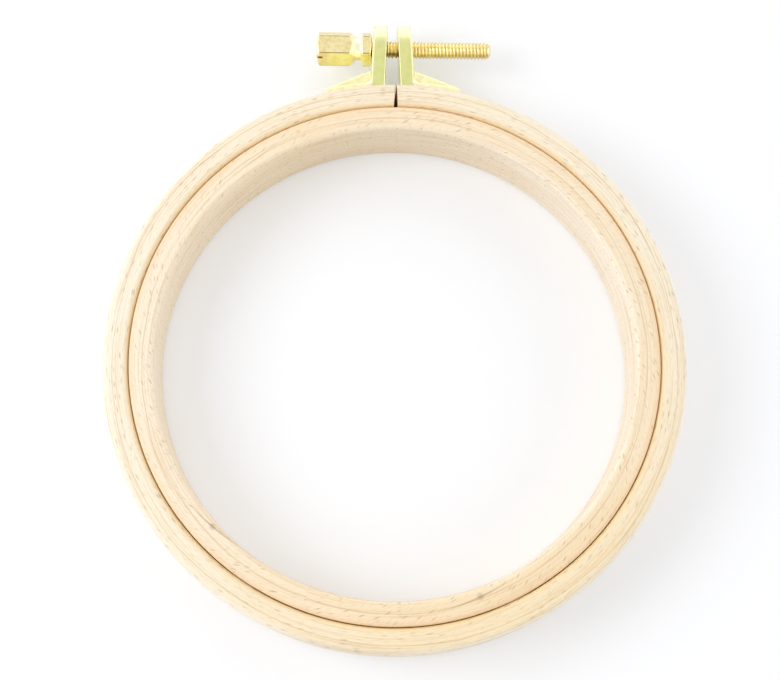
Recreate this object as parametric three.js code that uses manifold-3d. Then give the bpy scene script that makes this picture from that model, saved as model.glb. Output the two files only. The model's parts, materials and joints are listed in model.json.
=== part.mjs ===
// Round wooden embroidery hoop with a brass clamping screw.
// Units are millimetres. The hoop lies flat: +Z is up, +Y points to the screw and the screw's head is at -X.
// The origin is the centre of the bottom of the whole object's bounding box.
import * as THREE from "three";
import { mergeVertices } from "three/addons/utils/BufferGeometryUtils.js";
import Module from "manifold-3d";

const wasm = await Module();
wasm.setup();

// The two rings, each bent from one strip of beech
const hoopDiameter = 125;
const hoopDepth = 16;
const outerRingWall = 5.45;
const innerRingWall = 5.2;
const ringPlay = 0.3;
const rimRounding = 1.8;
const outerSeamRounding = 1.2;
const innerSeamRounding = 0.8;
const boreRounding = 1.2;

// The split that lets the screw draw the outer ring tight, and the slit opposite it where the strip bends
const splitShift = 0.2;
const splitWidthInside = 1.1;
const splitWidthOutside = 0.33;
const bendSlit = 0.3;

// The two lugs: an upright ear on a thin foot that follows the rim, with a rib between them
const earThickness = 3.2;
const earWidth = 10.9;
const earLean = 2.7;
const leftEarSetback = 2.5;
const rightEarSetback = 1.1;
const footThickness = 1.2;
const footLength = 10.2;
const footFillet = 1.4;
const footSeatPlay = 0.15;
const ribThickness = 5;
const ribHeadroom = 2.2;
const ribTipHeight = 1.4;

// The countersunk pins that hold each foot to the rim
const pinDiameter = 1.3;
const pinHeadDiameter = 2.1;
const pinHeadDepth = 0.6;
const pinPointLength = 1.3;
const pinPointDiameter = 0.7;
const pinReach = 6.2;
const pinPlay = 0.1;
const woodBelowPin = 1.8;

// The clamping screw: a fine inch thread on a shank, turned from hexagon bar
const screwHeight = 11.47;
const screwTilt = 0.7;
const threadDiameter = 3.9;
const threadPitch = 0.794;
const threadDepth = 0.48;
const shankLength = 27.45;
const tipRounding = 1.1;
const clearHolePlay = 0.3;
const tappedHolePlay = 0.35;
const hexAcrossFlats = 6.9;
const hexLean = 7;
const headLength = 8.85;
const headChamfer = 1.2;
const headEndChamfer = 0.6;
const neckDiameter = 5.6;
const neckLength = 1.4;
const collarLength = 2.4;
const collarChamfer = 0.35;
const collarPlay = 0.1;
const slotWidth = 0.6;
const slotDepth = 2.4;
const slotTilt = 58;

// Fineness of the round surfaces
const ringSteps = 96;
const edgeSteps = 3;
const footSteps = 6;
const filletSteps = 5;
const holeSteps = 28;
const threadSteps = 20;
const earArcSteps = 24;

// Sizes and places that follow from the dimensions above, measured from the hoop's own axis
const rimRadius = hoopDiameter / 2;
const outerBore = rimRadius - outerRingWall;
const innerRingRadius = outerBore - ringPlay;
const boreRadius = innerRingRadius - innerRingWall;
const middle = hoopDepth / 2;
const screwY = rimRadius + screwHeight;
const earTop = screwY + earWidth / 2;
const footSeat = rimRadius + footSeatPlay;
const footTop = footSeat + footThickness;
const leftEarInside = leftEarSetback - splitShift;
const rightEarInside = rightEarSetback + splitShift;
const pinOffset = (ribThickness + earWidth) / 4;
const pinLength = footTop - outerBore - woodBelowPin;
const hexCorner = hexAcrossFlats / 2 / Math.cos(Math.PI / 6);
const collarFace = -(leftEarInside + earThickness - earLeanAt(screwY - hexCorner) + collarPlay);
const collarStart = collarFace - collarLength;
const neckStart = collarStart - neckLength;
const headEnd = neckStart - headLength;
const ribTopY = screwY - hexCorner - ribHeadroom;

// A cutting shape reaches past what it cuts by a little, or by more than the hoop's own width.
const margin = 1;
const beyond = 2 * rimRadius;

// Which side of the hoop a piece is on, and which pin of a foot it is
const LEFT = -1;
const RIGHT = 1;
const LOWER = -1;
const UPPER = 1;

const beech = new THREE.MeshStandardMaterial({ color: "#ecdcb8", roughness: 0.6, metalness: 0 });
const castBrass = new THREE.MeshStandardMaterial({ color: "#c8b84a", roughness: 0.45, metalness: 1 });
const turnedBrass = new THREE.MeshStandardMaterial({ color: "#e0b44c", roughness: 0.25, metalness: 1 });

function radians(degrees) {
  return (degrees * Math.PI) / 180;
}

function degreesOf(angle) {
  return (angle * 180) / Math.PI;
}

// How far an ear has come in towards the split at height y: the drawn screw pulls the ears together.
function earLeanAt(y) {
  return (y - rimRadius) * Math.tan(radians(earLean));
}

// A closed three.js geometry as a solid that can be cut and joined.
function solidOf(geometry) {
  const bare = geometry.clone();
  bare.deleteAttribute("normal");
  bare.deleteAttribute("uv");
  const merged = mergeVertices(bare, 1e-4);
  return new wasm.Manifold(
    new wasm.Mesh({
      numProp: 3,
      vertProperties: merged.attributes.position.array,
      triVerts: new Uint32Array(merged.index.array),
    }),
  );
}

// A solid as a named mesh with its own copy of a material.
function meshOf(name, solid, material) {
  const made = solid.getMesh();
  const geometry = new THREE.BufferGeometry();
  geometry.setAttribute("position", new THREE.BufferAttribute(made.vertProperties, 3));
  geometry.setIndex(new THREE.BufferAttribute(made.triVerts, 1));
  geometry.computeVertexNormals();
  const mesh = new THREE.Mesh(geometry, material.clone());
  mesh.name = name;
  return mesh;
}

function point(x, y) {
  return new THREE.Vector2(x, y);
}

// Points of an arc from one angle to another, in degrees, both ends included.
function arc(centreX, centreY, radius, from, to, steps) {
  const points = [];
  for (let i = 0; i <= steps; i++) {
    const angle = radians(from + ((to - from) * i) / steps);
    points.push(point(centreX + radius * Math.cos(angle), centreY + radius * Math.sin(angle)));
  }
  return points;
}

// A solid of revolution about Z. Each point is a radius and a height.
function turnedAboutZ(profile, steps) {
  return solidOf(new THREE.LatheGeometry(profile, steps).rotateX(Math.PI / 2));
}

// A solid of revolution about X. Each point is a radius and a place along X.
function turnedAboutX(profile, steps) {
  return new THREE.LatheGeometry(profile, steps).rotateZ(-Math.PI / 2);
}

function extrusion(points, thickness) {
  const settings = { depth: thickness, bevelEnabled: false, steps: 1 };
  return new THREE.ExtrudeGeometry(new THREE.Shape(points), settings);
}

// A flat outline in X and Y, made thick from one height to another.
function slabAlongZ(points, low, high) {
  return solidOf(extrusion(points, high - low).translate(0, 0, low));
}

// A flat outline in Y and Z, made thick from one place along X to another.
function slabAlongX(points, from, to) {
  const alongY = new THREE.Vector3(0, 1, 0);
  const alongZ = new THREE.Vector3(0, 0, 1);
  const alongX = new THREE.Vector3(1, 0, 0);
  const turn = new THREE.Matrix4().makeBasis(alongY, alongZ, alongX);
  return solidOf(extrusion(points, to - from).applyMatrix4(turn).translate(from, 0, 0));
}

// An outline that was drawn for the right side, put on either side.
function onSide(points, side) {
  return points.map((p) => point(side * p.x, p.y));
}

// A ring of rectangular section whose four edges are rounded, the same above and below.
function ringSolid(inside, outside, insideRounding, outsideRounding) {
  const a = insideRounding;
  const b = outsideRounding;
  const profile = [
    ...arc(outside - b, b, b, -90, 0, edgeSteps),
    ...arc(outside - b, hoopDepth - b, b, 0, 90, edgeSteps),
    ...arc(inside + a, hoopDepth - a, a, 90, 180, edgeSteps),
    ...arc(inside + a, a, a, 180, 270, edgeSteps),
  ];
  profile.push(profile[0].clone());
  return turnedAboutZ(profile, ringSteps);
}

// Everything on one side of the bending slit and of the split, whose faces part towards the bore.
function sideBlock(side) {
  const splitInside = splitShift + (side * splitWidthInside) / 2;
  const splitOutside = splitShift + (side * splitWidthOutside) / 2;
  const slit = (side * bendSlit) / 2;
  const outline = [
    point(slit, -beyond),
    point(side * beyond, -beyond),
    point(side * beyond, beyond),
    point(splitOutside, beyond),
    point(splitOutside, rimRadius),
    point(splitInside, outerBore),
    point(splitInside, 0),
    point(slit, 0),
  ];
  return slabAlongZ(outline, -margin, hoopDepth + margin);
}

function outerRingHalf(side) {
  const whole = ringSolid(outerBore, rimRadius, outerSeamRounding, rimRounding);
  const half = whole.intersect(sideBlock(side));
  return half.subtract(pinHole(side, LOWER)).subtract(pinHole(side, UPPER));
}

// Where the inside face of an ear stands at the rim, measured outwards from the middle of the hoop.
function earInside(side) {
  return side === LEFT ? leftEarInside : rightEarInside;
}

// A turned pin with its flush head at height 0 and its point below, grown all round by the play.
function pinProfile(play) {
  const shank = pinDiameter / 2 + play;
  return [
    point(0, -pinLength - play),
    point(pinPointDiameter / 2 + play, -pinLength - play),
    point(shank, -pinLength + pinPointLength - play),
    point(shank, -pinHeadDepth),
    point(pinHeadDiameter / 2 + play, 0),
  ];
}

// Puts what was turned for a pin on its foot, standing square to the rim.
function placePin(profile, side, end) {
  const outward = earInside(side) + earThickness + pinReach;
  const lean = Math.asin(outward / footTop);
  const geometry = new THREE.LatheGeometry(profile, holeSteps);
  geometry.translate(0, footTop, 0).rotateZ(-side * lean);
  return solidOf(geometry.translate(0, 0, middle + end * pinOffset));
}

function pinSolid(side, end) {
  return placePin([...pinProfile(0), point(0, 0)], side, end);
}

// The hole for a pin runs on outwards past the foot, so that it is open there.
function pinHole(side, end) {
  const profile = pinProfile(pinPlay);
  const mouth = profile[profile.length - 1];
  profile.push(point(mouth.x, footThickness), point(0, footThickness));
  return placePin(profile, side, end);
}

// The ear and foot seen along Z on the right side: the foot's seat, its toe, its top, the fillet and the ear.
function earAndFootOutline(inside) {
  const outside = inside + earThickness;
  const toe = outside + footLength;
  const top = earTop + margin;
  const angleAt = (x, radius) => degreesOf(Math.acos(x / radius));
  const filletX = outside + footFillet;
  const filletY = Math.sqrt((footTop + footFillet) ** 2 - filletX ** 2);
  const filletStart = degreesOf(Math.atan2(filletY, filletX));
  return [
    ...arc(0, 0, footSeat, angleAt(inside, footSeat), angleAt(toe, footSeat), footSteps),
    ...arc(0, 0, footTop, angleAt(toe, footTop), filletStart, footSteps),
    ...arc(filletX, filletY, footFillet, filletStart - 180, -180, filletSteps).slice(1),
    point(outside - earLeanAt(top), top),
    point(inside - earLeanAt(top), top),
  ];
}

// The rib seen along Z on the right side: it slopes from the ear to the toe, its root inside the foot.
function ribOutline(inside) {
  const outside = inside + earThickness;
  const toe = outside + footLength;
  const buried = outside - earThickness / 2;
  const root = footSeat + footThickness / 2;
  const angleAt = (x) => degreesOf(Math.acos(x / root));
  const toeTop = Math.sqrt(footSeat ** 2 - toe ** 2) + footThickness + ribTipHeight;
  return [
    ...arc(0, 0, root, angleAt(buried), angleAt(toe), footSteps),
    point(toe, toeTop),
    point(outside, ribTopY),
    point(buried, ribTopY),
  ];
}

// The ear and foot seen along X: straight sides under a half round centred on the screw.
function earSideOutline() {
  const half = earWidth / 2;
  const top = arc(screwY, middle, half, -90, 90, earArcSteps);
  return [point(0, middle - half), ...top, point(0, middle + half)];
}

function screwHole(play) {
  const radius = threadDiameter / 2 + play;
  const profile = [point(0, -beyond), point(radius, -beyond), point(radius, beyond), point(0, beyond)];
  return solidOf(turnedAboutX(profile, holeSteps).translate(0, screwY, middle));
}

function lugSolid(side) {
  const inside = earInside(side);
  const flank = slabAlongX(earSideOutline(), -beyond, beyond);
  const earAndFoot = slabAlongZ(onSide(earAndFootOutline(inside), side), -margin, hoopDepth + margin);
  const ribLow = middle - ribThickness / 2;
  const rib = slabAlongZ(onSide(ribOutline(inside), side), ribLow, ribLow + ribThickness);
  const lug = earAndFoot.intersect(flank).add(rib);
  const drilled = lug.subtract(screwHole(side === LEFT ? clearHolePlay : tappedHolePlay));
  return drilled.subtract(pinHole(side, LOWER)).subtract(pinHole(side, UPPER));
}

// The head, neck and collar as turned, wide enough between their chamfers to leave the bar's flats alone.
function headProfile() {
  const neck = neckDiameter / 2;
  const clear = hexCorner + margin;
  const steepness = (hexCorner - neck) / headChamfer;
  return [
    point(0, headEnd),
    point(hexCorner - 2 * headEndChamfer, headEnd),
    point(hexCorner, headEnd + headEndChamfer),
    point(clear, headEnd + headEndChamfer),
    point(clear, neckStart - (clear - neck) / steepness),
    point(neck, neckStart),
    point(neck, collarStart),
    point(hexCorner, collarStart + collarChamfer),
    point(clear, collarStart + collarChamfer),
    point(clear, collarFace - collarChamfer),
    point(hexCorner, collarFace - collarChamfer),
    point(hexCorner - 2 * collarChamfer, collarFace),
    point(0, collarFace),
  ];
}

// The bar that the head is turned from, its six corners a sixth of a turn apart.
function hexBar() {
  const corners = arc(0, 0, hexCorner, hexLean, hexLean + 300, 5);
  return slabAlongX(corners, headEnd - margin, collarFace + margin);
}

// The screwdriver slot across the end of the head.
function slotSolid() {
  const box = new THREE.BoxGeometry(2 * slotDepth, slotWidth, 2 * hexAcrossFlats);
  return solidOf(box.rotateX(radians(slotTilt)).translate(headEnd, 0, 0));
}

// Points of a V thread from start on along X. Rows are crest and root by turns, and each climbs one pitch.
function threadPoints(start, rows) {
  const crest = threadDiameter / 2;
  const points = [];
  for (let row = 0; row <= rows; row++) {
    const radius = row % 2 ? crest - threadDepth : crest;
    for (let step = 0; step < threadSteps; step++) {
      const angle = (2 * Math.PI * step) / threadSteps;
      const x = start + threadPitch * (row / 2 + step / threadSteps);
      points.push(x, radius * Math.cos(angle), radius * Math.sin(angle));
    }
  }
  return points;
}

// Triangles between the thread's points, with a fan on each end. A row ends where the next but one starts.
function threadFaces(rows) {
  const at = (row, step) => (step < threadSteps ? row * threadSteps + step : (row + 2) * threadSteps);
  const faces = [];
  for (let row = 0; row < rows; row++) {
    const lastStep = row + 3 > rows ? threadSteps - 1 : threadSteps;
    for (let step = 0; step < lastStep; step++) {
      faces.push(at(row, step), at(row, step + 1), at(row + 1, step + 1));
      faces.push(at(row, step), at(row + 1, step + 1), at(row + 1, step));
    }
  }
  const startRow = Array.from({ length: threadSteps }, (_, step) => at(0, step));
  const endRow = Array.from({ length: threadSteps }, (_, step) => at(rows, step));
  const startLoop = [...startRow, at(2, 0), at(1, 0)];
  const endLoop = [...endRow, at(rows - 1, threadSteps - 1), at(rows - 2, threadSteps - 1)];
  const startCentre = (rows + 1) * threadSteps;
  const next = (loop, i) => loop[(i + 1) % loop.length];
  startLoop.forEach((v, i) => faces.push(startCentre, next(startLoop, i), v));
  endLoop.forEach((v, i) => faces.push(startCentre + 1, v, next(endLoop, i)));
  return faces;
}

// A threaded rod that runs past both places along X by a pitch or more, to be trimmed there.
function threadedRod(from, to) {
  const turns = Math.ceil((to - from) / threadPitch) + 2;
  const start = from - threadPitch;
  const points = threadPoints(start, 2 * turns);
  points.push(start, 0, 0, start + threadPitch * (turns + 1), 0, 0);
  const geometry = new THREE.BufferGeometry();
  geometry.setAttribute("position", new THREE.Float32BufferAttribute(points, 3));
  geometry.setIndex(threadFaces(2 * turns));
  return solidOf(geometry);
}

// The room that the threaded rod is trimmed to: a flat start inside the collar and a rounded tip.
function rodBlank(from, to) {
  const crest = threadDiameter / 2;
  const full = crest + margin;
  const tip = arc(crest - tipRounding, to - tipRounding, tipRounding, 0, 90, filletSteps);
  const profile = [point(0, from), point(full, from), point(full, to - tipRounding), ...tip, point(0, to)];
  return solidOf(turnedAboutX(profile, holeSteps));
}

function screwSolid() {
  const from = collarFace - collarLength / 2;
  const to = collarFace + shankLength;
  const head = solidOf(turnedAboutX(headProfile(), holeSteps)).intersect(hexBar()).subtract(slotSolid());
  return head.add(threadedRod(from, to).intersect(rodBlank(from, to)));
}

// One side of the outer ring with the lug and the two pins that it carries.
function sideGroup(side, word) {
  const group = new THREE.Group();
  group.add(meshOf("outer_ring_" + word, outerRingHalf(side), beech));
  group.add(meshOf("lug_" + word, lugSolid(side), castBrass));
  group.add(meshOf("lug_" + word + "_pin_lower", pinSolid(side, LOWER), turnedBrass));
  group.add(meshOf("lug_" + word + "_pin_upper", pinSolid(side, UPPER), turnedBrass));
  return group;
}

function innerRing() {
  return meshOf("inner_ring", ringSolid(boreRadius, innerRingRadius, boreRounding, innerSeamRounding), beech);
}

// The screw stands a little out of square with the hoop, because its collar seats on the leaning ear.
function clampScrew() {
  const screw = meshOf("clamp_screw", screwSolid(), turnedBrass);
  screw.position.set(0, screwY, middle);
  screw.rotation.z = -radians(screwTilt);
  return screw;
}

const hoop = new THREE.Group();
hoop.add(innerRing(), sideGroup(LEFT, "left"), sideGroup(RIGHT, "right"), clampScrew());
hoop.position.y = -(earTop - rimRadius) / 2;

export default hoop;
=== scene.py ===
import json
import math
import bmesh
import bpy
from mathutils import Matrix, Vector


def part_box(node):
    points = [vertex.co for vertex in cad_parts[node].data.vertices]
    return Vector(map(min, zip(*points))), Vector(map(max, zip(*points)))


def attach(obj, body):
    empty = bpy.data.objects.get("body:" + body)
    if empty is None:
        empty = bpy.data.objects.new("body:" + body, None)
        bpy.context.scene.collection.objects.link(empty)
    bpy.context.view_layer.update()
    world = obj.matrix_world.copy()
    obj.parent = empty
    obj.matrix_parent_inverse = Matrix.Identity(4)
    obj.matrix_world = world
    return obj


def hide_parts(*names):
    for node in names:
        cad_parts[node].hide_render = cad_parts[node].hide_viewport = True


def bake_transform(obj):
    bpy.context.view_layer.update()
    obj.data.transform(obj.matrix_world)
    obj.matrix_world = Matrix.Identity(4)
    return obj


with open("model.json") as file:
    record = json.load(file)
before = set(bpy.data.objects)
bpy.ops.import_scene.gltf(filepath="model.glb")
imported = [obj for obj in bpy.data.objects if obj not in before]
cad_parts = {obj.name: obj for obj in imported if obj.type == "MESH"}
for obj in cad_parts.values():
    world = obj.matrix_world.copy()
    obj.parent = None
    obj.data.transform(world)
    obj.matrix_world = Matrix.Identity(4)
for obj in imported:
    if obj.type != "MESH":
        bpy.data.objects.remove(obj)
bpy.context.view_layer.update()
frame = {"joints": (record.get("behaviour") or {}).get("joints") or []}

# Round beech embroidery hoop with a brass clamping screw, lying flat on a white table.
# Every shape is drawn in millimetres about the hoop's own axis, and its placement turns it to metres.
MM = 0.001
LEFT, RIGHT = -1, 1
LOWER, UPPER = -1, 1
# The materials of the outer ring, of a lug and of the screw, in the order of their slots
SANDED, SAWN_END = range(2)
SAWN, EDGE, WEB = range(3)
TURNED, FLAT, WARM_LIT_FLAT, THREAD, CORNER = range(5)
# How near a point lies on a plane that cuts, how near two points are one, and how near a face or an edge
# is at a place
ON_PLANE = 0.0001
SAME_PLACE = 0.001
AT_PLACE = 0.01
# The angles in degrees from which an edge is drawn hard, and an edge of a lug and of the bar is rounded
HARD_EDGE = 35
LUG_EDGE = 25
BAR_EDGE = 20


def box_mm(name):
    """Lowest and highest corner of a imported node, in millimetres."""
    low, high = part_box(name)
    return low / MM, high / MM


def joint(name):
    """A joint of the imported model."""
    return next(j for j in frame["joints"] if j["name"] == name)


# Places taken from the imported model
ring_low, ring_high = box_mm("inner_ring")
hoop_y = (ring_low.y + ring_high.y) / 2
hoop_depth = ring_high.z
middle = hoop_depth / 2
inner_ring_radius = ring_high.x
rim_radius = box_mm("outer_ring_right")[1].x
screw_at = Vector(joint("screw_turn")["pos_m"]) / MM - Vector((0, hoop_y, 0))
screw_axis = Vector(joint("screw_turn")["axis"])

# The rings
OUTER_WALL = 5.6
INNER_WALL = 5.2
RIM_ROUNDING = 1.8
OUTER_SEAM_ROUNDING = 1.2
INNER_SEAM_ROUNDING = 0.8
BORE_ROUNDING = 1.2
SPLIT_SHIFT = 0.2
SPLIT_WIDTH_INSIDE = 0.88
SPLIT_WIDTH_OUTSIDE = 0.33
SPLIT_LEAN = 2.2
SAWN_ARRIS = 0.12
RING_STEPS = 240
EDGE_STEPS = 7
ARRIS_STEPS = 2

# The beech's figure. A pattern's three sizes are along the strip, out from the hoop's axis and up.
SHADES = (30, 2.6, 5)
GROWTH_LINES = (24, 0.36, 0.7)
PORES = (1.7, 0.22, 0.25)
RAY_FLECKS = (2.8, 0.46, 0.7)
END_GRAIN = (0.3, 0.3, 1.4)
DARK_LINE_WANDER = 2.4
ACROSS_THE_BEND = 105
# Painted glare on a ring's bare face: the millimetres of x over which it comes in, and how far in from that
# face it is full and gone
GLARE_REACH = 60
GLARE_FULL, GLARE_GONE = 0.3, 1.3
FIGURE_DEPTH = 0.03
SCARF_RISE = 0.1
SCARF_SHOWS = 9

# The lugs
EAR_THICKNESS = 3.2
EAR_WIDTH = 10.9
EAR_LEAN = 2.7
FOOT_THICKNESS = 1.32
FOOT_LENGTH = 10.2
FOOT_SEAT_GAP = 0.03
FOOT_FILLET = 1.9
RIB_THICKNESS = 5
RIB_HEADROOM = 2.2
RIB_TIP_HEIGHT = 1.4
RIB_FILLET = 1.0
RIB_END_FILLET = 0.4
EAR_EDGE_ROUNDING = 0.45
EDGE_ROUNDING = 0.25
HOLE_ROUNDING = 0.15
FOOT_STEPS = 5
EAR_ARC_STEPS = 24
HOLE_STEPS = 32
WORN_EDGE_STEPS = 4
CLEAR_HOLE_PLAY = 0.3
TAPPED_HOLE_PLAY = 0.3
# Where the painted highlight on an ear's round top starts below the screw's axis, and the height over which
# it comes in fully
HIGHLIGHT_BELOW_SCREW = 0.9
HIGHLIGHT_OVER = 6.4

# The pins
PIN_DIAMETER = 1.3
PIN_HEAD_DIAMETER = 2.1
PIN_HEAD_DEPTH = 0.6
PIN_DOME = 0.12
PIN_DOME_SHAPE = ((0.8, 0.6), (0.4, 1), (0, 1.15))
PIN_LENGTH = 5
PIN_POINT_LENGTH = 1.3
PIN_POINT_DIAMETER = 0.7
PIN_REACH = 6.2
PIN_STEPS = 28

# The clamping screw
THREAD_DIAMETER = 3.9
THREAD_PITCH = 0.794
THREAD_DEPTH = 0.42
SHANK_LENGTH = 27.45
TIP_ROUNDING = 1.6
HEX_ACROSS_FLATS = 6.9
HEX_LEAN = 7
HEAD_LENGTH = 8.85
HEAD_CHAMFER = 1.2
HEAD_END_CHAMFER = 0.6
NECK_DIAMETER = 5.6
NECK_LENGTH = 1.4
COLLAR_LENGTH = 2.4
COLLAR_CHAMFER = 0.35
COLLAR_PLAY = 0.1
SLOT_WIDTH = 0.5
SLOT_DEPTH = 1.4
SLOT_TILT = 58
BAR_EDGE_ROUNDING = 0.16
BAR_EDGE_STEPS = 2
BAR_CORNER_SIDES = 8
HEAD_STEPS = 72
THREAD_STEPS = 48
# One pitch of the thread: the share of the pitch, and the share of the depth that it lies at
THREAD_SHAPE = ((0, 0), (0.1, 0), (0.21, 0.12), (0.4, 0.8), (0.5, 1), (0.6, 0.8), (0.79, 0.12),
                (0.9, 0), (1, 0))
# The marks of the tools on the brass, along a piece and across it both ways
BRUSHING = (0.3, 0.3, 0.3)
TURNING_RINGS = (0.12, 2, 2)
DRAWN_LINES = (1.5, 0.25, 0.25)

# The table, and the distances in metres over which its glow goes from the near level to the far one
TABLE_REACH = 4000
GLOW_FROM, GLOW_FULL = 0.25, 1.2
NEAR_GLOW, FAR_GLOW = 0.24, 0.6

# Sizes that follow
outer_bore = rim_radius - OUTER_WALL
bore_radius = inner_ring_radius - INNER_WALL
foot_seat = rim_radius + FOOT_SEAT_GAP
foot_top = foot_seat + FOOT_THICKNESS
hex_corner = HEX_ACROSS_FLATS / 2 / math.cos(math.pi / 6)
rib_top = screw_at.y - hex_corner - RIB_HEADROOM
thread_radius = THREAD_DIAMETER / 2
split_slope = math.tan(math.radians(SPLIT_LEAN))


def lean_at(y):
    """How far an ear has come in towards the split at height y above the hoop's axis."""
    return max(0, y - rim_radius) * math.tan(math.radians(EAR_LEAN))


def ear_inside(name):
    """Where an ear's inner face stands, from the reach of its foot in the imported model."""
    low, high = box_mm(name)
    return max(-low.x, high.x) - FOOT_LENGTH - EAR_THICKNESS


left_inside = ear_inside("lug_left")
collar_face = -(left_inside + EAR_THICKNESS - lean_at(screw_at.y - hex_corner) + COLLAR_PLAY)
collar_start = collar_face - COLLAR_LENGTH
neck_start = collar_start - NECK_LENGTH
head_end = neck_start - HEAD_LENGTH

# Placements from the hoop's axis, in millimetres, to the frame, in metres
TO_METRES = Matrix.Scale(MM, 4)
HOOP = TO_METRES @ Matrix.Translation((0, hoop_y, 0))
SCREW = HOOP @ Matrix.Translation(screw_at) @ screw_axis.to_track_quat("X", "Z").to_matrix().to_4x4()


# Materials

def linear(hex_colour):
    """An sRGB colour such as #ecdcb8 as the linear colour that a shader takes."""
    parts = [int(hex_colour[i:i + 2], 16) / 255 for i in (1, 3, 5)]
    return [p / 12.92 if p <= 0.04045 else ((p + 0.055) / 1.055) ** 2.4 for p in parts] + [1]


def add(tree, kind, inputs=(), **settings):
    """Adds a shader node with its settings. Each input takes a value or a link, which comes from an output
    or from the first output in use of another node."""
    made = tree.nodes.new("ShaderNode" + kind)
    for name, value in settings.items():
        setattr(made, name, value)
    for key, value in dict(inputs).items():
        if isinstance(value, bpy.types.Node):
            value = next(output for output in value.outputs if output.enabled)
        if isinstance(value, bpy.types.NodeSocket):
            tree.links.new(value, made.inputs[key])
        else:
            made.inputs[key].default_value = value
    return made


def new_material(name):
    """An empty material and its node tree."""
    material = bpy.data.materials.new(name)
    material.use_nodes = True
    material.node_tree.nodes.clear()
    return material, material.node_tree


def surface(tree, **sockets):
    """Ends a material: what is given for its surface, by the names of the shader's sockets."""
    inputs = {socket.replace("_", " "): value for socket, value in sockets.items()}
    add(tree, "OutputMaterial", {"Surface": add(tree, "BsdfPrincipled", inputs)})


def stretched(tree, vector, lengths, turn=0.0):
    """Turns a pattern in its plane and scales it so that one cell has these real lengths."""
    lain = add(tree, "Mapping", {"Vector": vector, "Rotation": (0, 0, turn)})
    return add(tree, "Mapping", {"Vector": lain, "Scale": [1 / length for length in lengths]})


def tinted(tree, colour, layers):
    """Lays tints over a colour. Each layer is a pattern, the values of it at which its tint starts to show
    and shows most, the share that it then takes, and the tint."""
    for pattern, start, full, most, tint in layers:
        share = {"Value": pattern, "From Min": start, "From Max": full, "To Max": most}
        share = add(tree, "MapRange", share)
        colour = add(tree, "Mix", {0: share, 6: colour, 7: linear(tint)}, data_type="RGBA")
    return colour


def apart(tree, value, place):
    """How far a value is from a place."""
    gap = add(tree, "Math", {0: value, 1: place}, operation="SUBTRACT")
    return add(tree, "Math", {0: gap}, operation="ABSOLUTE")


def around_the_ring(tree, cut_direction):
    """Millimetres along the bent strip, out from the hoop's axis and up, cut where the strip's ends meet."""
    place = add(tree, "TexCoord").outputs["Object"]
    centred = add(tree, "Mapping", {"Vector": place, "Location": (0, -hoop_y, 0), "Scale": (1 / MM,) * 3})
    turn = (0, 0, math.pi - math.radians(cut_direction))
    from_cut = add(tree, "Mapping", {"Vector": centred, "Rotation": turn})
    axes = add(tree, "SeparateXYZ", {0: from_cut}).outputs
    angle = add(tree, "Math", {0: axes["Y"], 1: axes["X"]}, operation="ARCTAN2")
    along = add(tree, "Math", {0: angle, 1: inner_ring_radius}, operation="MULTIPLY")
    flat = add(tree, "VectorMath", {0: from_cut, 1: (1, 1, 0)}, operation="MULTIPLY")
    out = add(tree, "VectorMath", {0: flat}, operation="LENGTH")
    return add(tree, "CombineXYZ", {0: along, 1: out, 2: axes["Z"]})


def warmth_along(tree, along, cut_direction, warm_direction):
    """From -1 to 1 round the ring: warmest at one side and palest at the other, where the strip leaves
    the heartwood, and on top of that warmer where its growth rings stand across the bend than where they
    lie along it."""
    waves = []
    for count, direction in ((1, warm_direction), (2, ACROSS_THE_BEND)):
        place = math.radians(direction - cut_direction + 180)
        turn = {0: along, 1: count / inner_ring_radius, 2: -count * place}
        angle = add(tree, "Math", turn, operation="MULTIPLY_ADD")
        waves.append(add(tree, "Math", {0: angle}, operation="COSINE"))
    both = add(tree, "Math", {0: waves[0], 1: waves[1]}, operation="ADD")
    return add(tree, "Math", {0: both, 1: 0.5}, operation="MULTIPLY")


def glue_stain(tree, strip, colour, cut_direction, direction, inward):
    """Glue where a tip of the scarf joint comes out on the front face, at this direction and this far in
    from the bore: a spot, and a thin line that runs from it along the joint."""
    along, out, _ = add(tree, "SeparateXYZ", {0: strip}).outputs
    turn = (direction - cut_direction) % 360 - 180
    place = (math.radians(turn) * inner_ring_radius, bore_radius + inward, hoop_depth)
    spot = add(tree, "VectorMath", {0: strip, 1: place}, operation="DISTANCE").outputs["Value"]
    rise = {0: along, 1: -SCARF_RISE, 2: place[1] + SCARF_RISE * place[0]}
    off_joint = apart(tree, out, add(tree, "Math", rise, operation="MULTIPLY_ADD"))
    near = add(tree, "MapRange", {"Value": spot, "From Min": SCARF_SHOWS, "From Max": 0.0})
    shut = add(tree, "MapRange", {"Value": off_joint, "From Min": 0.25, "From Max": 0.08})
    line = add(tree, "Math", {0: near, 1: shut}, operation="MULTIPLY")
    return tinted(tree, colour, ((spot, 1.0, 0.2, 0.45, "#a08560"), (line, 0.0, 1.0, 0.6, "#9c7850")))


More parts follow.
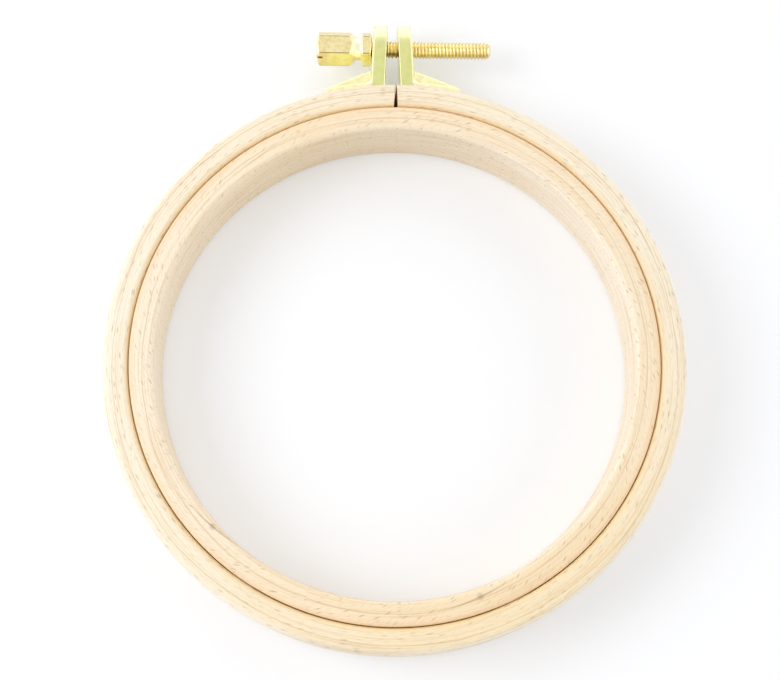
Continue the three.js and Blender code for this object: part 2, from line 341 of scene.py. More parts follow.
def beech(name, pale, warm, seam_shade, cut_direction, warm_direction, slant, growth_line, bare_face,
          glare_from, glue_stains=()):
    """Bare steamed beech, planed and sanded: pale, and warmer where the strip came from nearer the heart,
    with fine growth lines along it, one of them darker, and the short brown flecks of its rays. The flecks
    lie at a slant where the strip was cut across the grain. By the seam between the rings it is painted
    warmer and darker as painted shade, and its bare face is painted nearly white from glare_from along x
    as painted glare. Glue has stained it where the tips of its scarf joint come out."""
    material, tree = new_material(name)
    strip = around_the_ring(tree, cut_direction)
    along, out, _ = add(tree, "SeparateXYZ", {0: strip}).outputs
    across = add(tree, "SeparateXYZ", {0: add(tree, "TexCoord").outputs["Object"]}).outputs["X"]
    warmth = warmth_along(tree, along, cut_direction, warm_direction)

    slope = math.radians(slant)
    shades = add(tree, "TexNoise", {"Vector": stretched(tree, strip, SHADES), "Scale": 1.0})
    lines = {"Vector": stretched(tree, strip, GROWTH_LINES), "Scale": 1.0, "Detail": 3.0}
    lines = add(tree, "TexNoise", lines)
    pores = add(tree, "TexNoise", {"Vector": stretched(tree, strip, PORES, slope), "Scale": 1.0})
    cells = add(tree, "TexVoronoi", {"Vector": stretched(tree, strip, RAY_FLECKS, slope), "Scale": 1.0})
    kept = add(tree, "SeparateColor", {0: cells.outputs["Color"]}).outputs["Red"]
    spindle = add(tree, "MapRange", {"Value": cells.outputs["Distance"], "From Min": 0.5, "From Max": 0.1})
    flecks = add(tree, "Math", {0: spindle, 1: kept}, operation="MULTIPLY")

    wander = {0: shades, 1: DARK_LINE_WANDER, 2: growth_line - DARK_LINE_WANDER / 2}
    wander = add(tree, "Math", wander, operation="MULTIPLY_ADD")
    # Painted glare: near the bare face, coming in along x
    bare = {"Value": apart(tree, out, bare_face), "From Min": GLARE_GONE, "From Max": GLARE_FULL}
    bare = add(tree, "MapRange", bare)
    whitened = {"Value": across, "From Min": glare_from * MM}
    whitened["From Max"] = (glare_from + GLARE_REACH) * MM
    painted_glare = add(tree, "Math", {0: bare, 1: add(tree, "MapRange", whitened)}, operation="MULTIPLY")
    colour = tinted(tree, linear(pale), (
        (warmth, -1.0, 1.0, 1.0, warm),
        # Painted glare: the bare face made nearly white
        (painted_glare, 0.0, 1.0, 0.6, "#fcf4e7"),
        (shades, 0.5, 0.75, 0.3, "#ecd0a2"),
        (lines, 0.5, 0.7, 0.46, "#d9b483"),
        # Painted shade: warmer and darker by the seam between the rings
        (apart(tree, out, inner_ring_radius), 1.5, 0.3, 0.6, seam_shade),
        (apart(tree, out, wander), 0.16, 0.05, 0.4, "#c99d6c"),
        (pores, 0.53, 0.75, 0.4, "#cda985"),
        (flecks, 0.35, 0.9, 0.6, "#b08a62"),
    ))
    for direction, inward in glue_stains:
        colour = glue_stain(tree, strip, colour, cut_direction, direction, inward)

    height = add(tree, "Math", {0: lines, 1: pores}, operation="ADD")
    bump = add(tree, "Bump", {"Strength": 0.35, "Distance": FIGURE_DEPTH * MM, "Height": height})
    surface(tree, Base_Color=colour, Roughness=0.6, Specular_IOR_Level=0.35, Normal=bump)
    return material


def sawn_end_beech():
    """The saw cut across the outer strip: end grain, rough and matt, with darker rays that run up it."""
    material, tree = new_material("beech_sawn_end")
    place = add(tree, "TexCoord").outputs["Object"]
    rays = stretched(tree, place, [length * MM for length in END_GRAIN])
    rays = add(tree, "TexNoise", {"Vector": rays, "Scale": 1.0, "Detail": 3.0})
    colour = tinted(tree, linear("#f2d8ae"), ((rays, 0.4, 0.65, 1.0, "#cca474"),))
    surface(tree, Base_Color=colour, Roughness=0.8, Specular_IOR_Level=0.2)
    return material


def brass(name, bright, dull, patch, roughness, groove=BRUSHING, depth=0.004, highlight_from=None):
    """Brass of one finish: bright metal clouded with a duller tone in patches of this size in millimetres,
    under the fine marks of the tool that finished it, with this size and depth in millimetres. Above the
    height highlight_from, a lug's sawn face is painted paler towards its round top, a painted highlight."""
    material, tree = new_material(name)
    place = add(tree, "TexCoord").outputs["Object"]
    clouds = stretched(tree, place, (patch * MM,) * 3)
    clouds = add(tree, "TexNoise", {"Vector": clouds, "Scale": 1.0, "Detail": 3.0})
    marks = stretched(tree, place, [length * MM for length in groove])
    marks = add(tree, "TexNoise", {"Vector": marks, "Scale": 1.0, "Detail": 3.0})
    colour = tinted(tree, linear(bright), ((clouds, 0.38, 0.66, 1.0, dull),))
    if highlight_from:
        height = add(tree, "SeparateXYZ", {0: place}).outputs["Y"]
        start, full = ((hoop_y + highlight_from + past) * MM for past in (0, HIGHLIGHT_OVER))
        # Painted highlight: paler towards the ear's round top
        colour = tinted(tree, colour, ((height, start, full, 1.0, "#fbfae2"),))
    bump = add(tree, "Bump", {"Strength": 1.0, "Distance": depth * MM, "Height": marks})
    surface(tree, Base_Color=colour, Metallic=1.0, Roughness=roughness, Normal=bump)
    return material


# Shaping

def finished(name, bm, placement, *materials):
    """Makes a bmesh a named object at the origin, with its place in its mesh and its hard edges marked."""
    bmesh.ops.transform(bm, matrix=placement, verts=bm.verts)
    for face in bm.faces:
        face.smooth = True
    for edge in bm.edges:
        edge.smooth = edge.calc_face_angle(math.pi) < math.radians(HARD_EDGE)
    mesh = bpy.data.meshes.new(name)
    bm.to_mesh(mesh)
    bm.free()
    for material in materials:
        mesh.materials.append(material)
    piece = bpy.data.objects.new(name, mesh)
    bpy.context.scene.collection.objects.link(piece)
    return piece


def flat_normals(piece):
    """Keeps the flats flat next to their rounded edges."""
    piece.modifiers.new("flats", "WEIGHTED_NORMAL").keep_sharp = True


def stands_for(piece, node, body):
    """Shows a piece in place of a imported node, on its body."""
    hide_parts(node)
    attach(piece, body)


def radius_of(vert):
    """How far a vertex is from the hoop's axis."""
    return math.hypot(vert.co.x, vert.co.y)


def on_circle(vert, x, radius):
    """Moves a vertex round the hoop's axis to this x, on the circle of this radius."""
    vert.co.x = x
    vert.co.y = math.sqrt(radius ** 2 - x ** 2)


def turned(profile, steps):
    """Turns a line of (x, radius) points about the X axis, to a closed solid where both ends are on it."""
    bm = bmesh.new()
    points = [bm.verts.new((x, radius, 0)) for x, radius in profile]
    line = [bm.edges.new(pair) for pair in zip(points, points[1:])]
    full = dict(axis=(1, 0, 0), angle=math.tau, steps=steps, use_merge=True)
    bmesh.ops.spin(bm, geom=points + line, cent=(0, 0, 0), **full)
    bmesh.ops.remove_doubles(bm, verts=bm.verts, dist=SAME_PLACE)
    bmesh.ops.recalc_face_normals(bm, faces=bm.faces)
    return bm


def round_edges(bm, edges, rounding, steps):
    bmesh.ops.bevel(bm, geom=edges, offset=rounding, offset_type="OFFSET", segments=steps,
                    profile=0.5, affect="EDGES", material=-1, clamp_overlap=True)


def hoop_edges(bm, radius, height):
    """The edges that run round the ring at one corner of its section."""
    def near(vert):
        return abs(radius_of(vert) - radius) < AT_PLACE and abs(vert.co.z - height) < AT_PLACE
    return [e for e in bm.edges if near(e.verts[0]) and near(e.verts[1])]


def round_ring(bm, inside, outside, inside_rounding, outside_rounding):
    """Rounds the four edges that run round a ring."""
    for radius, rounding in ((inside, inside_rounding), (outside, outside_rounding)):
        for height in (0, hoop_depth):
            round_edges(bm, hoop_edges(bm, radius, height), rounding, EDGE_STEPS)


def ring_section(bm, inside, outside):
    """The rectangle that is turned about the hoop's axis to make a ring."""
    corners = ((inside, 0), (outside, 0), (outside, hoop_depth), (inside, hoop_depth))
    return bm.faces.new([bm.verts.new((0, radius, height)) for radius, height in corners])


def inner_ring():
    """The closed inner ring."""
    bm = bmesh.new()
    section = ring_section(bm, bore_radius, inner_ring_radius)
    outline = list(section.verts) + list(section.edges)
    bm.faces.remove(section)
    full = dict(axis=(0, 0, 1), angle=math.tau, steps=RING_STEPS, use_merge=True)
    bmesh.ops.spin(bm, geom=outline, cent=(0, 0, 0), **full)
    bmesh.ops.recalc_face_normals(bm, faces=bm.faces)
    round_ring(bm, bore_radius, inner_ring_radius, BORE_ROUNDING, INNER_SEAM_ROUNDING)
    # The tint by the seam is painted shade; the bore wall is painted nearly white from x = -20 mm towards
    # the right, where it faces the key lamp, as painted glare
    wood = beech("beech_inner_strip", pale="#f6ead5", warm="#f4deb8", seam_shade="#f6d3a8", cut_direction=250,
                 warm_direction=330, slant=24, growth_line=bore_radius + 2.3, bare_face=bore_radius,
                 glare_from=-20, glue_stains=((224, 0.9), (289, 2.0)))
    piece = finished("inner_ring_beech", bm, HOOP, wood)
    flat_normals(piece)
    stands_for(piece, "inner_ring", "inner")


def split_x(side, radius, height):
    """Where the split's face on one side stands at this radius and height. The faces part towards the bore,
    and the saw leaned a little."""
    depth = (rim_radius - radius) / OUTER_WALL
    width = SPLIT_WIDTH_OUTSIDE + (SPLIT_WIDTH_INSIDE - SPLIT_WIDTH_OUTSIDE) * depth
    return SPLIT_SHIFT - (hoop_depth - height) * split_slope + side * width / 2


def outer_ring():
    """The outer ring in one strip, from the right face of the split round to the left one."""
    bm = bmesh.new()
    section = ring_section(bm, outer_bore, rim_radius)
    right_end = list(section.verts)
    geom = [section] + right_end + list(section.edges)
    gap = 2 * SPLIT_WIDTH_INSIDE / rim_radius
    swept = bmesh.ops.spin(bm, geom=geom, cent=(0, 0, 0), axis=(0, 0, -1), angle=math.tau - gap,
                           steps=RING_STEPS)
    left_end = [v for v in swept["geom_last"] if isinstance(v, bmesh.types.BMVert)]
    for side, verts in ((RIGHT, right_end), (LEFT, left_end)):
        for vert in verts:
            radius = radius_of(vert)
            on_circle(vert, split_x(side, radius, vert.co.z), radius)
    bmesh.ops.recalc_face_normals(bm, faces=bm.faces)
    caps = [f for f in bm.faces if abs(f.normal.x) > 0.9 and f.calc_center_median().y > outer_bore]
    caps = [f for f in caps if abs(f.calc_center_median().x) < 2 * SPLIT_WIDTH_INSIDE]
    for cap in caps:
        cap.material_index = SAWN_END
    round_ring(bm, outer_bore, rim_radius, OUTER_SEAM_ROUNDING, RIM_ROUNDING)
    rims = dict.fromkeys(e for f in bm.faces if f.material_index != SANDED for e in f.edges)
    round_edges(bm, list(rims), SAWN_ARRIS, ARRIS_STEPS)
    # The tint by the seam is painted shade; the whole outer wall is painted nearly white as painted glare
    wood = beech("beech_outer_strip", pale="#f6eedc", warm="#f5e3bf", seam_shade="#efd297", cut_direction=90,
                 warm_direction=300, slant=4, growth_line=outer_bore + 3.4, bare_face=rim_radius,
                 glare_from=-200)
    piece = finished("outer_ring_beech", bm, HOOP, wood, sawn_end_beech())
    flat_normals(piece)
    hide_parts("outer_ring_left", "outer_ring_right")
    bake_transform(piece)


def foot_and_ear_base(bm, inside, outside, heights):
    """The foot along the rim, in three bands of its width, and the block that the ear stands on."""
    rows = []
    for radius in (foot_seat, foot_top):
        rows.append([bm.verts.new((0, radius, z)) for z in heights])
    ends = [bm.faces.new((a, b, d, c)) for a, b, c, d in zip(rows[0], rows[0][1:], rows[1], rows[1][1:])]
    for vert in rows[0] + rows[1]:
        on_circle(vert, outside, radius_of(vert))
    geom = ends + rows[0] + rows[1] + list(dict.fromkeys(e for f in ends for e in f.edges))
    toe = outside + FOOT_LENGTH
    sweep = math.asin(toe / foot_top) - math.asin(outside / foot_top)
    swept = bmesh.ops.spin(bm, geom=geom, cent=(0, 0, 0), axis=(0, 0, -1), angle=sweep, steps=FOOT_STEPS)
    for vert in swept["geom_last"]:
        if isinstance(vert, bmesh.types.BMVert):
            on_circle(vert, toe, radius_of(vert))
    bmesh.ops.recalc_face_normals(bm, faces=bm.faces)
    near = [f for f in bm.faces if f.normal.x < -0.9]
    grown = bmesh.ops.extrude_face_region(bm, geom=near)
    for vert in grown["geom"]:
        if isinstance(vert, bmesh.types.BMVert):
            on_circle(vert, inside, radius_of(vert))
    bmesh.ops.delete(bm, geom=[f for f in near if f.is_valid], context="FACES")


def raise_ear(bm, outside):
    """The ear up to the top of the rib, in the foot's three bands."""
    bmesh.ops.recalc_face_normals(bm, faces=bm.faces)
    top = [f for f in bm.faces if f.normal.y > 0.9 and f.calc_center_median().x < outside
           and f.calc_center_median().y > foot_seat + FOOT_THICKNESS / 2]
    grown = bmesh.ops.extrude_face_region(bm, geom=top)
    for vert in grown["geom"]:
        if isinstance(vert, bmesh.types.BMVert):
            vert.co.y = rib_top
    bmesh.ops.delete(bm, geom=[f for f in top if f.is_valid], context="FACES")
    lid = [f for f in bm.faces if all(abs(v.co.y - rib_top) < SAME_PLACE for v in f.verts)]
    bmesh.ops.delete(bm, geom=lid, context="FACES_KEEP_BOUNDARY")


def round_head(bm, inside, outside):
    """The ear's half round top, about the screw's axis."""
    half = EAR_WIDTH / 2
    foot_of_head = [(inside, rib_top), (outside, rib_top)]
    first = [bm.verts.new((x, y, middle - half)) for x, y in foot_of_head]
    edge = bm.edges.new(first)
    risen = bmesh.ops.extrude_edge_only(bm, edges=[edge])["geom"]
    upper = [v for v in risen if isinstance(v, bmesh.types.BMVert)]
    for vert in upper:
        vert.co.y = screw_at.y
    upper_edge = [e for e in risen if isinstance(e, bmesh.types.BMEdge) and e.verts[0] in upper
                  and e.verts[1] in upper]
    swept = bmesh.ops.spin(bm, geom=upper + upper_edge, cent=screw_at, axis=(1, 0, 0), angle=math.pi,
                           steps=EAR_ARC_STEPS)["geom_last"]
    last_edge = [e for e in swept if isinstance(e, bmesh.types.BMEdge)]
    sunk = bmesh.ops.extrude_edge_only(bm, edges=last_edge)["geom"]
    for vert in sunk:
        if isinstance(vert, bmesh.types.BMVert):
            vert.co.y = rib_top
    bmesh.ops.remove_doubles(bm, verts=bm.verts, dist=SAME_PLACE)
    for x in (inside, outside):
        rim = [e for e in bm.edges if e.is_boundary and all(abs(v.co.x - x) < SAME_PLACE for v in e.verts)
               and all(v.co.y > rib_top - SAME_PLACE for v in e.verts)]
        bmesh.ops.edgeloop_fill(bm, edges=rim)


def screw_hole(radius):
    """The room of the screw's hole through an ear, long enough to reach through both ears."""
    through = 8 * EAR_THICKNESS
    bm = bmesh.new()
    bmesh.ops.create_cone(bm, cap_ends=True, segments=HOLE_STEPS, radius1=radius, radius2=radius,
                          depth=through)
    bmesh.ops.rotate(bm, cent=(0, 0, 0), matrix=Matrix.Rotation(math.pi / 2, 3, "Y"), verts=bm.verts)
    bmesh.ops.translate(bm, vec=(0, screw_at.y, middle), verts=bm.verts)
    return bm


def raise_rib(bm, outside):
    """The rib: a web in the foot's middle band that slopes from the ear down to the toe."""
    half = RIB_THICKNESS / 2
    toe = outside + FOOT_LENGTH

    def covered(face):
        """Whether a face lies in the middle band on the foot's top or up the ear's outer face."""
        if any(abs(v.co.z - middle) > half + SAME_PLACE for v in face.verts):
            return False
        at = face.calc_center_median()
        on_foot = face.normal.y > 0.5 and outside < at.x < toe
        on_ear = face.normal.x > 0.9 and at.x < outside + SAME_PLACE and at.y < rib_top
        return on_foot or on_ear
    bmesh.ops.delete(bm, geom=[f for f in bm.faces if covered(f)], context="FACES")
    tips = {}
    for z in (middle - half, middle + half):
        rim = [v for v in bm.verts if abs(v.co.z - z) < SAME_PLACE and v.is_boundary]
        rim.sort(key=lambda v: (v.co.x, -v.co.y))
        toe_top = rim[-1]
        tip = bm.verts.new(toe_top.co + Vector((0, RIB_TIP_HEIGHT, 0)))
        tips[z] = (rim[0], tip, toe_top)
        bm.faces.new(rim + [tip])
    (top_a, tip_a, toe_a), (top_b, tip_b, toe_b) = tips.values()
    bm.faces.new((top_a, top_b, tip_b, tip_a))
    bm.faces.new((tip_a, tip_b, toe_b, toe_a))


def lug_edge_rounding(edge, outside):
    """The rounding that an edge of a lug gets, in millimetres: a fillet in its hollows, and elsewhere a
    worn edge, widest down the outer corners of the ear."""
    if edge.calc_face_angle(0) < math.radians(LUG_EDGE):
        return 0
    ends = [v.co for v in edge.verts]
    at_outside = all(abs(p.x + lean_at(p.y) - outside) < 5 * AT_PLACE for p in ends)
    up_and_down = abs(ends[0].z - ends[1].z) > 10 * AT_PLACE
    on_flank = all(abs(abs(p.z - middle) - EAR_WIDTH / 2) < AT_PLACE or p.y > screw_at.y - AT_PLACE
                   for p in ends)
    near_hole = all((p - Vector((p.x, screw_at.y, middle))).length < THREAD_DIAMETER for p in ends)
    if edge.calc_face_angle_signed(0) < 0:
        if not at_outside:
            return RIB_FILLET
        on_foot = all(p.y < foot_top + 0.2 for p in ends)
        return FOOT_FILLET if up_and_down and on_foot else RIB_END_FILLET
    if near_hole:
        return HOLE_ROUNDING
    if at_outside and on_flank:
        return EAR_EDGE_ROUNDING
    return EDGE_ROUNDING


def lug(name, side, hole_play, body, materials):
    """A cast lug: its foot on the rim, its ear round the screw and the rib between them."""
    inside = ear_inside(name)
    outside = inside + EAR_THICKNESS
    half, rib = EAR_WIDTH / 2, RIB_THICKNESS / 2
    bm = bmesh.new()
    foot_and_ear_base(bm, inside, outside, [middle + h for h in (-half, -rib, rib, half)])
    raise_ear(bm, outside)
    round_head(bm, inside, outside)
    bmesh.ops.recalc_face_normals(bm, faces=bm.faces)
    raise_rib(bm, outside)
    bmesh.ops.recalc_face_normals(bm, faces=bm.faces)
    bm = subtract(bm, screw_hole(thread_radius + hole_play))
    for vert in bm.verts:
        vert.co.x -= lean_at(vert.co.y)
    bmesh.ops.recalc_face_normals(bm, faces=bm.faces)
    weight = bm.edges.layers.float.new("bevel_weight_edge")
    for edge in bm.edges:
        edge[weight] = lug_edge_rounding(edge, outside) / FOOT_FILLET
    near_round = EAR_WIDTH / 2 - 0.2
    for face in bm.faces:
        at = face.calc_center_median()
        on_top = at.y > screw_at.y and math.hypot(at.y - screw_at.y, at.z - middle) > near_round
        on_side = abs(face.normal.z) > 0.7
        beyond_ear = at.x > outside - lean_at(rib_top) / 2
        if on_top or on_side and not beyond_ear:
            face.material_index = SAWN
        else:
            face.material_index = WEB if on_side else EDGE
    bmesh.ops.scale(bm, vec=(side, 1, 1), verts=bm.verts)
    bmesh.ops.recalc_face_normals(bm, faces=bm.faces)
    piece = finished(name + "_brass", bm, HOOP, *materials)
    bevel = piece.modifiers.new("worn_edges", "BEVEL")
    bevel.limit_method = "WEIGHT"
    bevel.width = FOOT_FILLET * MM
    bevel.segments = WORN_EDGE_STEPS
    bevel.material = EDGE
    flat_normals(piece)
    stands_for(piece, name, body)


def pin(name, lug_name, side, end, body, material):
    """A countersunk pin, driven flush into the foot, with the slight dome that filing leaves."""
    shank, head, point = (d / 2 for d in (PIN_DIAMETER, PIN_HEAD_DIAMETER, PIN_POINT_DIAMETER))
    profile = [(-PIN_LENGTH, 0), (-PIN_LENGTH, point), (PIN_POINT_LENGTH - PIN_LENGTH, shank),
               (-PIN_HEAD_DEPTH, shank), (0, head)]
    profile += [(PIN_DOME * high, head * wide) for wide, high in PIN_DOME_SHAPE]
    bm = turned(profile, PIN_STEPS)
    outward = ear_inside(lug_name) + EAR_THICKNESS + PIN_REACH
    lean = math.asin(outward / foot_top)
    across = (RIB_THICKNESS + EAR_WIDTH) / 4
    placement = (HOOP @ Matrix.Translation((0, 0, middle + end * across))
                 @ Matrix.Rotation(-side * lean, 4, "Z") @ Matrix.Translation((0, foot_top, 0))
                 @ Matrix.Rotation(math.pi / 2, 4, "Z"))
    piece = finished(name + "_brass", bm, placement, material)
    stands_for(piece, name, body)


def head_profile():
    """The head, neck and collar as turned, from the head's end to the collar's face."""
    neck = NECK_DIAMETER / 2
    return [
        (head_end, 0), (head_end, hex_corner - 2 * HEAD_END_CHAMFER),
        (head_end + HEAD_END_CHAMFER, hex_corner), (neck_start - HEAD_CHAMFER, hex_corner),
        (neck_start, neck), (collar_start, neck),
        (collar_start + COLLAR_CHAMFER, hex_corner), (collar_face - COLLAR_CHAMFER, hex_corner),
        (collar_face, hex_corner - 2 * COLLAR_CHAMFER), (collar_face, 0),
    ]


def cut_flats(bm):
    """Cuts the six flats of the hexagon bar into the turned head and collar."""
    for turn in range(6):
        angle = math.radians(HEX_LEAN + 30 + 60 * turn)
        normal = Vector((0, math.cos(angle), math.sin(angle)))
        geom = list(bm.verts) + list(bm.edges) + list(bm.faces)
        cut = bmesh.ops.bisect_plane(bm, geom=geom, dist=ON_PLANE, plane_no=normal,
                                     plane_co=normal * HEX_ACROSS_FLATS / 2, clear_outer=True)
        edges = [e for e in cut["geom_cut"] if isinstance(e, bmesh.types.BMEdge)]
        bmesh.ops.edgeloop_fill(bm, edges=edges)
    bmesh.ops.recalc_face_normals(bm, faces=bm.faces)


def subtract(bm, cutter):
    """Cuts one solid out of another with the Boolean modifier, and returns what is left as a bmesh."""
    objects = []
    for part in (bm, cutter):
        mesh = bpy.data.meshes.new("blank")
        part.to_mesh(mesh)
        part.free()
        objects.append(bpy.data.objects.new("blank", mesh))
        bpy.context.scene.collection.objects.link(objects[-1])
    boolean = objects[0].modifiers.new("cut", "BOOLEAN")
    boolean.object = objects[1]
    boolean.operation = "DIFFERENCE"
    boolean.solver = "EXACT"
    cut_object = objects[0].evaluated_get(bpy.context.evaluated_depsgraph_get())
    left = bmesh.new()
    left.from_mesh(cut_object.to_mesh())
    cut_object.to_mesh_clear()
    for blank in objects:
        bpy.data.meshes.remove(blank.data)
    return left


def join(bm, other):
    """Adds all that is in one bmesh to another."""
    mesh = bpy.data.meshes.new("blank")
    other.to_mesh(mesh)
    other.free()
    bm.from_mesh(mesh)
    bpy.data.meshes.remove(mesh)


def slot_blank():
    """The room of the screwdriver slot across the end of the head."""
    bm = bmesh.new()
    bmesh.ops.create_cube(bm, size=1)
    bmesh.ops.scale(bm, vec=(2 * SLOT_DEPTH, SLOT_WIDTH, 2 * HEX_ACROSS_FLATS), verts=bm.verts)
    turn = Matrix.Rotation(math.radians(SLOT_TILT), 3, "X")
    bmesh.ops.rotate(bm, cent=(0, 0, 0), matrix=turn, verts=bm.verts)
    bmesh.ops.translate(bm, vec=(head_end, 0, 0), verts=bm.verts)
    return bm


def threaded_shank():
    """The rolled thread: one pitch of its profile turned once, repeated along the shank, then trimmed and
    rounded at the tip. Its start is left open for the collar to join."""
    start = collar_face - COLLAR_LENGTH / 2 - THREAD_PITCH
    tip = collar_face + SHANK_LENGTH
    bm = bmesh.new()
    points = [bm.verts.new((start + along * THREAD_PITCH, thread_radius - deep * THREAD_DEPTH, 0))
              for along, deep in THREAD_SHAPE]
    line = [bm.edges.new(pair) for pair in zip(points, points[1:])]
    bmesh.ops.spin(bm, geom=points + line, cent=(0, 0, 0), axis=(1, 0, 0), angle=math.tau,
                   dvec=(THREAD_PITCH / THREAD_STEPS, 0, 0), steps=THREAD_STEPS)
    turn = list(bm.verts) + list(bm.edges) + list(bm.faces)
    for number in range(1, math.ceil((tip - start) / THREAD_PITCH) + 1):
        copy = bmesh.ops.duplicate(bm, geom=turn)["geom"]
        verts = [v for v in copy if isinstance(v, bmesh.types.BMVert)]
        bmesh.ops.translate(bm, vec=(number * THREAD_PITCH, 0, 0), verts=verts)
    bmesh.ops.remove_doubles(bm, verts=bm.verts, dist=SAME_PLACE)
    for place, way in ((collar_face, -1), (tip, 1)):
        geom = list(bm.verts) + list(bm.edges) + list(bm.faces)
        bmesh.ops.bisect_plane(bm, geom=geom, dist=ON_PLANE, plane_co=(place, 0, 0),
                               plane_no=(way, 0, 0), clear_outer=True)
    for vert in bm.verts:
        past = vert.co.x - (tip - TIP_ROUNDING)
        if past > 0:
            limit = thread_radius - TIP_ROUNDING + math.sqrt(max(0, TIP_ROUNDING ** 2 - past ** 2))
            pull = min(1, limit / math.hypot(vert.co.y, vert.co.z))
            vert.co.y *= pull
            vert.co.z *= pull
    end = [e for e in bm.edges if e.is_boundary and e.verts[0].co.x > tip - AT_PLACE]
    bmesh.ops.edgeloop_fill(bm, edges=end)
    return bm


def clamp_screw(materials):
    """The clamping screw in one piece: hexagon head, neck, collar and threaded shank."""
    head = turned(head_profile(), HEAD_STEPS)
    bmesh.ops.rotate(head, cent=(0, 0, 0), matrix=Matrix.Rotation(math.radians(HEX_LEAN), 3, "X"),
                     verts=head.verts)
    cut_flats(head)
    sharp = [e for e in head.edges if e.calc_face_angle(0) > math.radians(BAR_EDGE)]
    round_edges(head, sharp, BAR_EDGE_ROUNDING, BAR_EDGE_STEPS)
    bm = subtract(head, slot_blank())
    for face in bm.faces:
        at = face.calc_center_median()
        from_axis = math.hypot(at.y, at.z)
        on_bar = abs(face.normal.x) < AT_PLACE and from_axis > (NECK_DIAMETER + HEX_ACROSS_FLATS) / 4
        if not on_bar:
            face.material_index = TURNED
        elif len(face.verts) <= BAR_CORNER_SIDES:
            face.material_index = CORNER
        else:
            # Flats facing the hoop take the copy painted with a warm reflection
            face.material_index = WARM_LIT_FLAT if face.normal.y < -0.5 else FLAT
    for_shank = [f for f in bm.faces if f.normal.x > 0.9
                 and f.calc_center_median().x > collar_face - AT_PLACE]
    bmesh.ops.delete(bm, geom=for_shank, context="FACES")
    shank = threaded_shank()
    for face in shank.faces:
        face.material_index = THREAD
    join(bm, shank)
    seat = [e for e in bm.edges if e.is_boundary]
    bmesh.ops.bridge_loops(bm, edges=seat)
    bmesh.ops.recalc_face_normals(bm, faces=bm.faces)
    piece = finished("clamp_screw_brass", bm, SCREW, *materials)
    flat_normals(piece)
    stands_for(piece, "clamp_screw", "screw")


# The set: a white table under an even sky, with a soft lamp over the left and a panel on each side

def emission_for_the_eye(tree, strength):
    """A share of white that only the camera and reflections see, so that it lights nothing."""
    rays = add(tree, "LightPath").outputs
    seen = rays["Is Camera Ray"]
    for ray in ("Is Glossy Ray", "Is Transmission Ray"):
        seen = add(tree, "Math", {0: seen, 1: rays[ray]}, operation="MAXIMUM")
    return add(tree, "Math", {0: seen, 1: strength}, operation="MULTIPLY")


def table():
    """Matt white paper, which looks white as far as the horizon, where the lamps don't reach."""
    material, tree = new_material("white_paper")
    place = add(tree, "TexCoord").outputs["Object"]
    away = add(tree, "VectorMath", {0: place}, operation="LENGTH")
    glow = {"Value": away, "From Min": GLOW_FROM, "From Max": GLOW_FULL}
    glow.update({"To Min": NEAR_GLOW, "To Max": FAR_GLOW})
    glow = emission_for_the_eye(tree, add(tree, "MapRange", glow))
    surface(tree, Base_Color=linear("#dedfe2"), Roughness=0.9, Specular_IOR_Level=0.0,
            Emission_Color=(1, 1, 1, 1), Emission_Strength=glow)
    bm = bmesh.new()
    bmesh.ops.create_grid(bm, x_segments=1, y_segments=1, size=TABLE_REACH)
    floor = finished("table", bm, TO_METRES, material)


def sky():
    """An even white sky, dimmer as a light than it looks."""
    world = bpy.data.worlds.new("studio")
    bpy.context.scene.world = world
    world.use_nodes = True
    tree = world.node_tree
    tree.nodes.clear()
    lit = 0.59
    level = add(tree, "Math", {0: emission_for_the_eye(tree, 1 - lit), 1: lit}, operation="ADD")
    background = add(tree, "Background", {"Color": (1, 1, 1, 1), "Strength": level})
    add(tree, "OutputWorld", {"Surface": background})


def softbox(name, azimuth, elevation, distance, size, level):
    """A square soft lamp aimed at the hoop, with its azimuth and elevation in degrees, and its distance and
    size in metres. Level is the light that it gives a surface facing it."""
    lamp = bpy.data.lights.new(name, "AREA")
    lamp.shape = "SQUARE"
    lamp.size = size
    lamp.energy = level * math.pi * distance ** 2 * math.pi
    turn, rise = math.radians(azimuth), math.radians(elevation)
    way = Vector((math.cos(turn) * math.cos(rise), math.sin(turn) * math.cos(rise), math.sin(rise)))
    box = bpy.data.objects.new(name, lamp)
    box.location = Vector((0, hoop_y * MM, 0)) + way * distance
    box.rotation_euler = way.to_track_quat("Z", "Y").to_euler()
    bpy.context.scene.collection.objects.link(box)


def camera():
    """The photograph's viewpoint, found from the ellipses of the two rings."""
    lens_pixels = 1400
    picture_width = 780
    yaw, pitch = math.radians(0.73), math.radians(13.36)
    eye = Vector((-4.8365, -65.7195 + hoop_y, 290.7021 + hoop_depth)) * MM
    ahead = Vector((math.sin(yaw) * math.cos(pitch), math.sin(pitch), -math.cos(yaw) * math.cos(pitch)))
    right = Vector((math.cos(yaw), 0, math.sin(yaw)))
    data = bpy.data.cameras.new("camera")
    data.lens = data.sensor_width * lens_pixels / picture_width
    data.clip_start, data.clip_end = 0.01, 20
    eye_object = bpy.data.objects.new("camera", data)
    basis = Matrix((right, right.cross(ahead), -ahead)).transposed().to_4x4()
    eye_object.matrix_world = Matrix.Translation(eye) @ basis
    bpy.context.scene.collection.objects.link(eye_object)
    bpy.context.scene.camera = eye_object


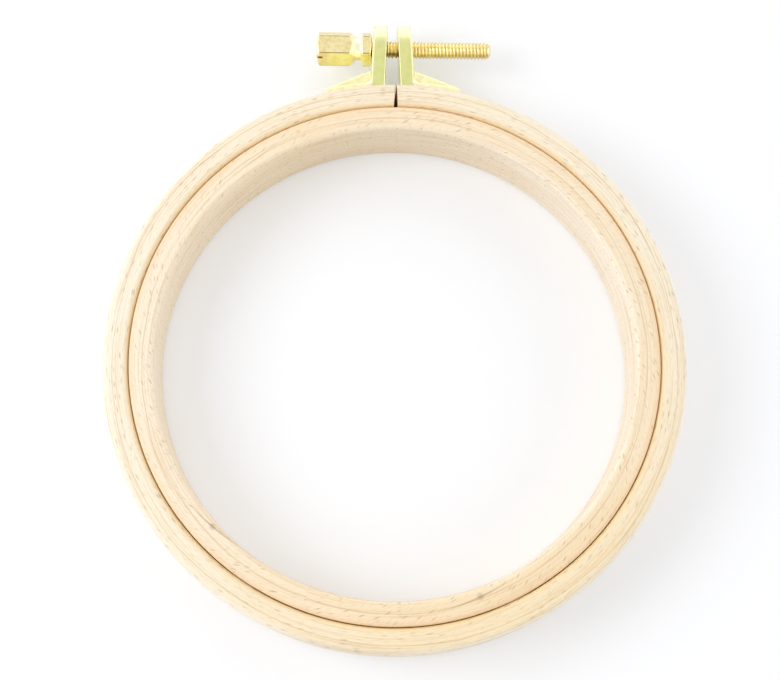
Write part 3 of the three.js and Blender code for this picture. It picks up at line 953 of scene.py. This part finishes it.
bpy.context.scene.view_settings.view_transform = "Standard"
camera()
sky()
table()
softbox("key_softbox", 180, 42, 0.75, 0.45, 0.355)
softbox("left_panel", 180, 18, 1.2, 1.2, 0.3)
softbox("right_panel", 0, 18, 1.2, 1.0, 0.41)
softbox("back_panel", 90, 20, 1.3, 1.6, 0.33)
softbox("front_panel", 270, 18, 1.2, 1.2, 0.12)

# The flanks and the round top of a lug's ear: sawn, dull and greenish, with a painted highlight that turns
# them paler towards the top
sawn = brass("brass_sawn_face", "#d1d18f", "#caca86", 1.6, 0.42,
             highlight_from=screw_at.y - HIGHLIGHT_BELOW_SCREW)
# The flanks of its rib and foot: cast and brushed, pale and a little cloudy
cast = brass("brass_cast_web", "#f2ecbc", "#e8e1a8", 1.2, 0.38)
# Its other faces and its worn edges: polished, so that the edges show as bright lines
polished = brass("brass_polished_edge", "#faf4c8", "#f2ebb4", 2.5, 0.24)
# The screw's neck, chamfers and ends: turned, in fine rings, and painted nearly white, paler than brass
# itself, as a painted highlight
turned_brass_highlight = brass("brass_turned_painted_highlight", "#fff8d8", "#faefc4", 1.5, 0.2, TURNING_RINGS, 0.003)
# Its flats: the drawn surface of the bar, with fine lines along it and a straw-coloured cast
bar_brass = brass("brass_drawn_bar_flat", "#f2e4b0", "#e4d192", 0.9, 0.3, DRAWN_LINES, 0.003)
# The flats turned towards the hoop: a copy of the bar's brass painted brighter and yellower, as a painted
# warm reflection of the wooden rim, and a little smoother
warm_lit_brass = brass("brass_flat_painted_warm_reflection", "#fffac0", "#fceda0", 1.6, 0.26, DRAWN_LINES, 0.002)
# The rounded corners between them: painted dark, as a painted dark reflection, so that they show as dark
# lines
dark_corner_reflection = brass("brass_bar_corner_painted_dark", "#94763a", "#70572a", 1.2, 0.4)
# The thread: rolled, with smooth golden flanks
thread_brass = brass("brass_rolled_thread", "#eee0ab", "#e2d09a", 1.5, 0.22)
# The pins: filed flush with the feet, a shade darker than these
pin_brass = brass("brass_filed_pin", "#e8dc9c", "#dccb88", 0.8, 0.3)

outer_ring()
inner_ring()
lug("lug_left", LEFT, CLEAR_HOLE_PLAY, "left_half", (sawn, polished, cast))
lug("lug_right", RIGHT, TAPPED_HOLE_PLAY, "right_half", (sawn, polished, cast))
for word, side in (("left", LEFT), ("right", RIGHT)):
    for level, end in (("lower", LOWER), ("upper", UPPER)):
        pin(f"lug_{word}_pin_{level}", "lug_" + word, side, end, word + "_half", pin_brass)
clamp_screw((turned_brass_highlight, bar_brass, warm_lit_brass, thread_brass, dark_corner_reflection))
